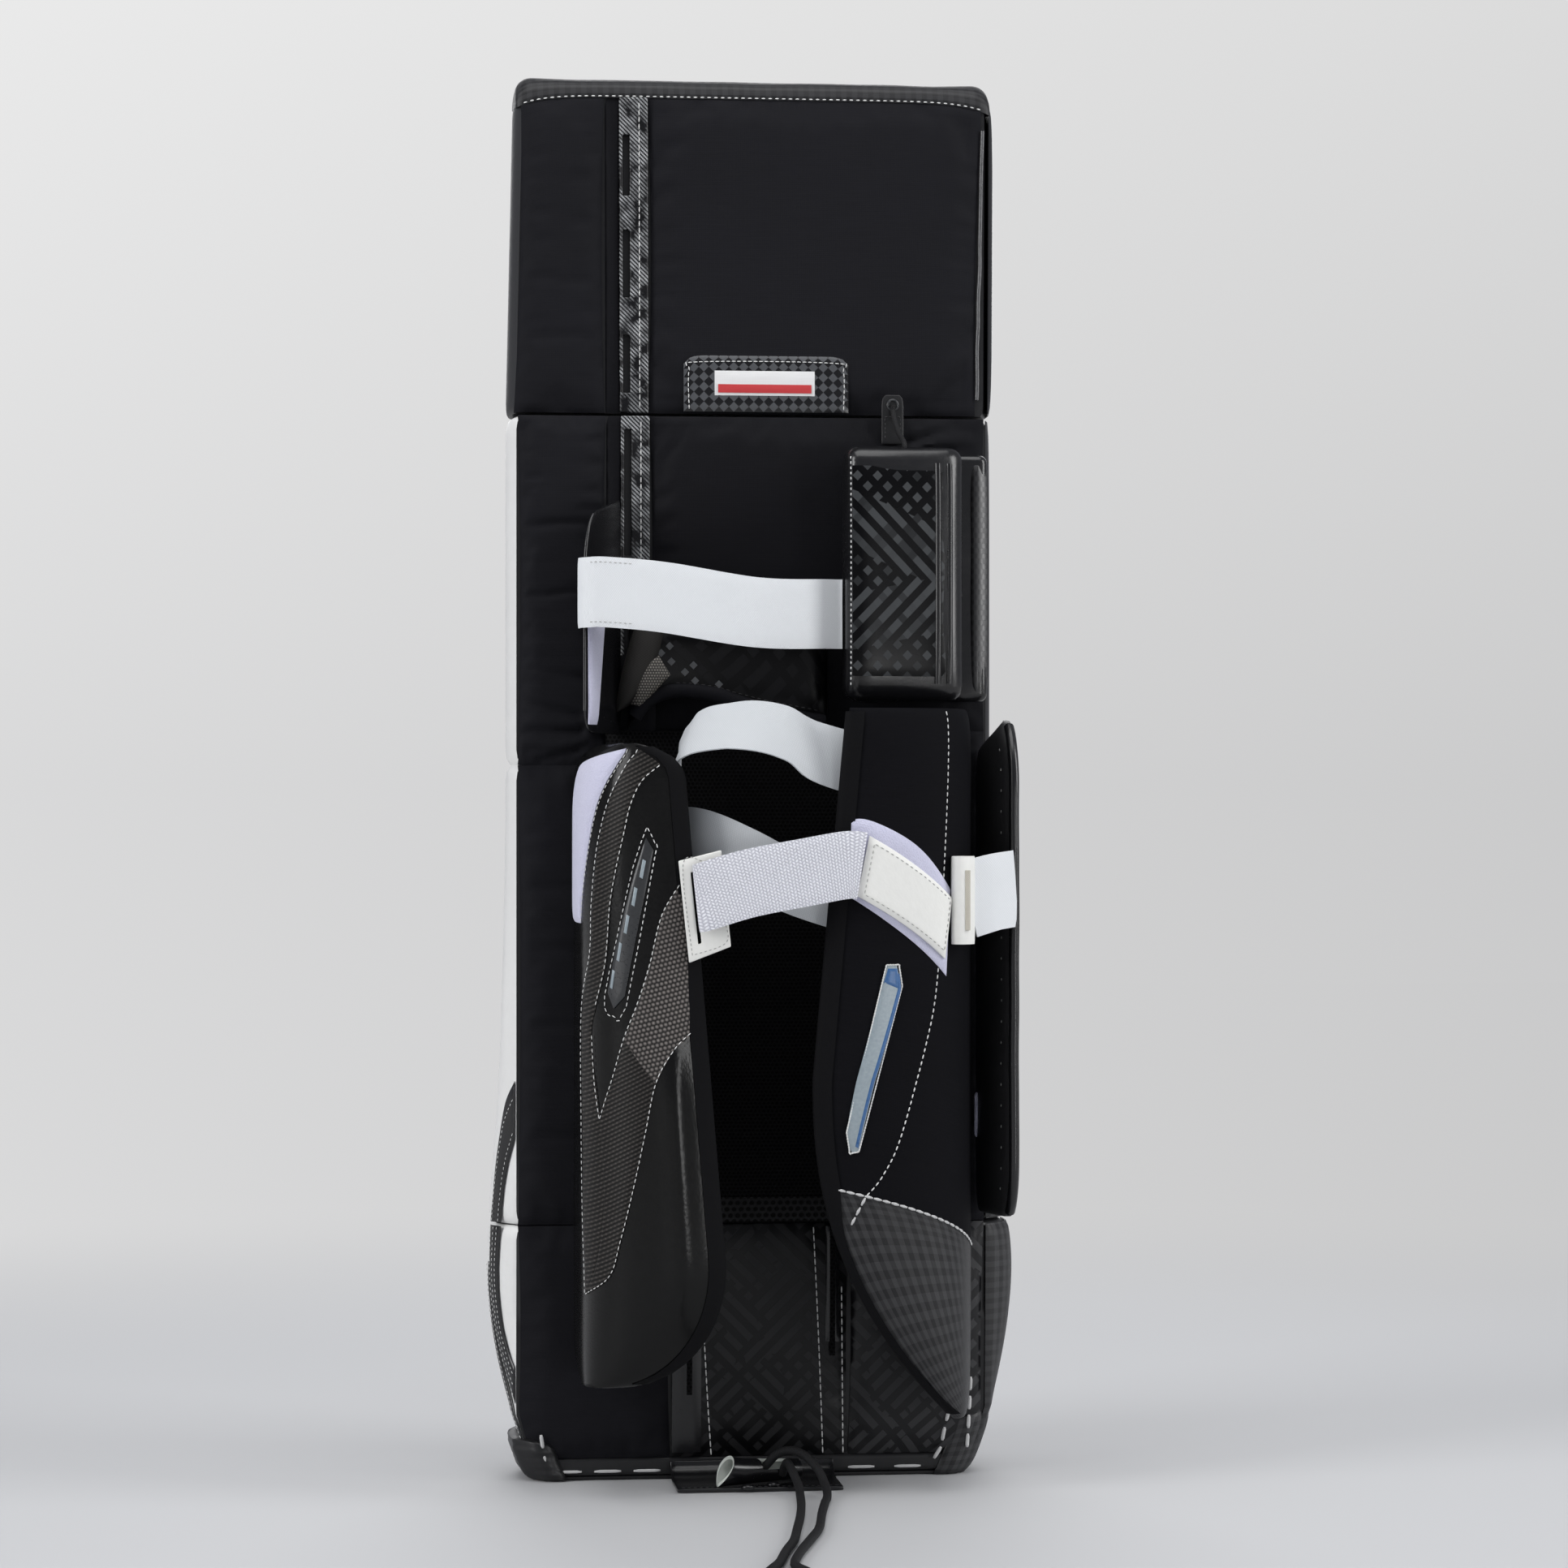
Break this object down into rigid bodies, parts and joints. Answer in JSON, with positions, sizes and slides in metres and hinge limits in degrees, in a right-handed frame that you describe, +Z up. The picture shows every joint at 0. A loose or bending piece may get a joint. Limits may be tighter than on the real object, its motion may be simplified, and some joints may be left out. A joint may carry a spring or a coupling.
{
  "type": "goalie leg pad",
  "caption": "Tall foam leg pad for an ice hockey goalie, left leg, with flexing boot and thigh sections, hinged calf wings, knee block, strap closures and an elastic toe cord.",
  "frame": {"origin": "middle of the flat sole on which the pad stands", "axes": "+Z up along the leg, +Y forward towards the shooter, +X towards the inner side of a left leg"},
  "size_m": [0.306, 0.4109, 0.8233],
  "materials": {
    "foam": "closed foam",
    "white_skin": "smooth synthetic leather",
    "black_skin": "embossed synthetic leather",
    "nylon": "matte woven nylon",
    "strip_gloss": "gloss carbon-look trim",
    "air_mesh": "spacer mesh",
    "white_elastic": "woven elastic",
    "white_webbing": "coarse woven webbing",
    "white_leather": "coated leather",
    "pile": "brushed loop pile",
    "hook": "hook tape",
    "bungee": "braided elastic"
  },
  "bodies": {
    "shin_section": {"shin_core": "foam", "shin_face": "white_skin", "medial_gusset": "black_skin", "knee_outer_panel": "nylon", "shin_outer_panel": "nylon", "shin_inner_panel": "nylon", "knee_panel": "nylon", "leg_liner": "air_mesh", "knee_lace_strip": "strip_gloss", "knee_cradle": "nylon", "cord_anchor": "nylon", "upper_elastic": "white_elastic", "lower_elastic": "white_elastic", "knee_cord": "bungee"},
    "thigh_section": {"thigh_core": "foam", "thigh_face": "black_skin", "thigh_outer_panel": "nylon", "thigh_panel": "nylon", "thigh_lace_strip": "strip_gloss", "top_cap": "black_skin", "label_patch": "black_skin"},
    "boot_section": {"sole": "black_skin", "boot_core": "foam", "boot_face": "white_skin", "toe_binding": "black_skin", "boot_outer_panel": "nylon", "boot_channel": "black_skin", "boot_inner_panel": "nylon", "outer_toe_corner": "black_skin", "inner_toe_corner": "black_skin", "bottom_lace": "white_webbing", "toe_bridge": "black_skin", "toe_toggle": "black_skin", "toe_cord": "bungee"},
    "outer_calf_wing": {"outer_wing": "black_skin", "outer_wing_pile": "pile", "strap_keeper": "white_leather"},
    "calf_strap": {"calf_webbing": "white_webbing", "calf_strap_tab": "white_leather"},
    "medial_wing": {"inner_wing": "nylon", "inner_wing_flare": "black_skin", "inner_wing_pile": "pile", "medial_flap": "black_skin", "keeper_elastic": "white_elastic", "keeper_loop": "white_leather"},
    "knee_block": {"knee_block_pad": "black_skin", "knee_block_base": "black_skin"},
    "knee_fastening": {"knee_strap": "white_elastic", "knee_hook_tape": "hook"},
    "outer_knee_guard": {"outer_knee_wing": "nylon", "knee_wing_pile": "pile"}
  },
  "joints": [
    {"name": "thigh_flex", "type": "hinge", "parent": "shin_section", "child": "thigh_section", "pos_m": [0, 0.023, 0.622], "axis": [-1, 0, 0], "range_deg": [-1, 20], "stiffness_Nm_per_rad": 4},
    {"name": "boot_flex", "type": "hinge", "parent": "shin_section", "child": "boot_section", "pos_m": [0, 0.023, 0.15], "axis": [1, 0, 0], "range_deg": [0, 12], "stiffness_Nm_per_rad": 6},
    {"name": "outer_calf_wing_open", "type": "hinge", "parent": "shin_section", "child": "outer_calf_wing", "pos_m": [-0.105, -0.0403, 0.245], "axis": [0, 0, -1], "range_deg": [0, 65], "stiffness_Nm_per_rad": 0.3},
    {"name": "medial_wing_open", "type": "hinge", "parent": "shin_section", "child": "medial_wing", "pos_m": [0.1405, -0.0403, 0.247], "axis": [0, 0, 1], "range_deg": [0, 50], "stiffness_Nm_per_rad": 0.3, "deforming": ["upper_elastic", "lower_elastic"]},
    {"name": "calf_strap_peel", "type": "hinge", "parent": "outer_calf_wing", "child": "calf_strap", "pos_m": [-0.043, -0.146, 0.343], "axis": [0, 0, -1], "range_deg": [0, 100]},
    {"name": "knee_block_open", "type": "hinge", "parent": "shin_section", "child": "knee_block", "pos_m": [0.136, -0.0403, 0.526], "axis": [0, 0, 1], "range_deg": [0, 60], "stiffness_Nm_per_rad": 0.3, "deforming": ["knee_cord"]},
    {"name": "knee_strap_peel", "type": "hinge", "parent": "knee_block", "child": "knee_fastening", "pos_m": [0.0479, -0.0766, 0.51], "axis": [0, 0, 1], "range_deg": [0, 70], "stiffness_Nm_per_rad": 0.02},
    {"name": "knee_wing_flex", "type": "hinge", "parent": "shin_section", "child": "outer_knee_guard", "pos_m": [-0.07773, -0.04241, 0.5], "axis": [0, 0, 1], "range_deg": [0, 15], "stiffness_Nm_per_rad": 0.2}
  ],
  "couplings": [
    {"joint": "calf_strap_peel", "follows": "medial_wing_open", "ratio": 2}
  ]
}
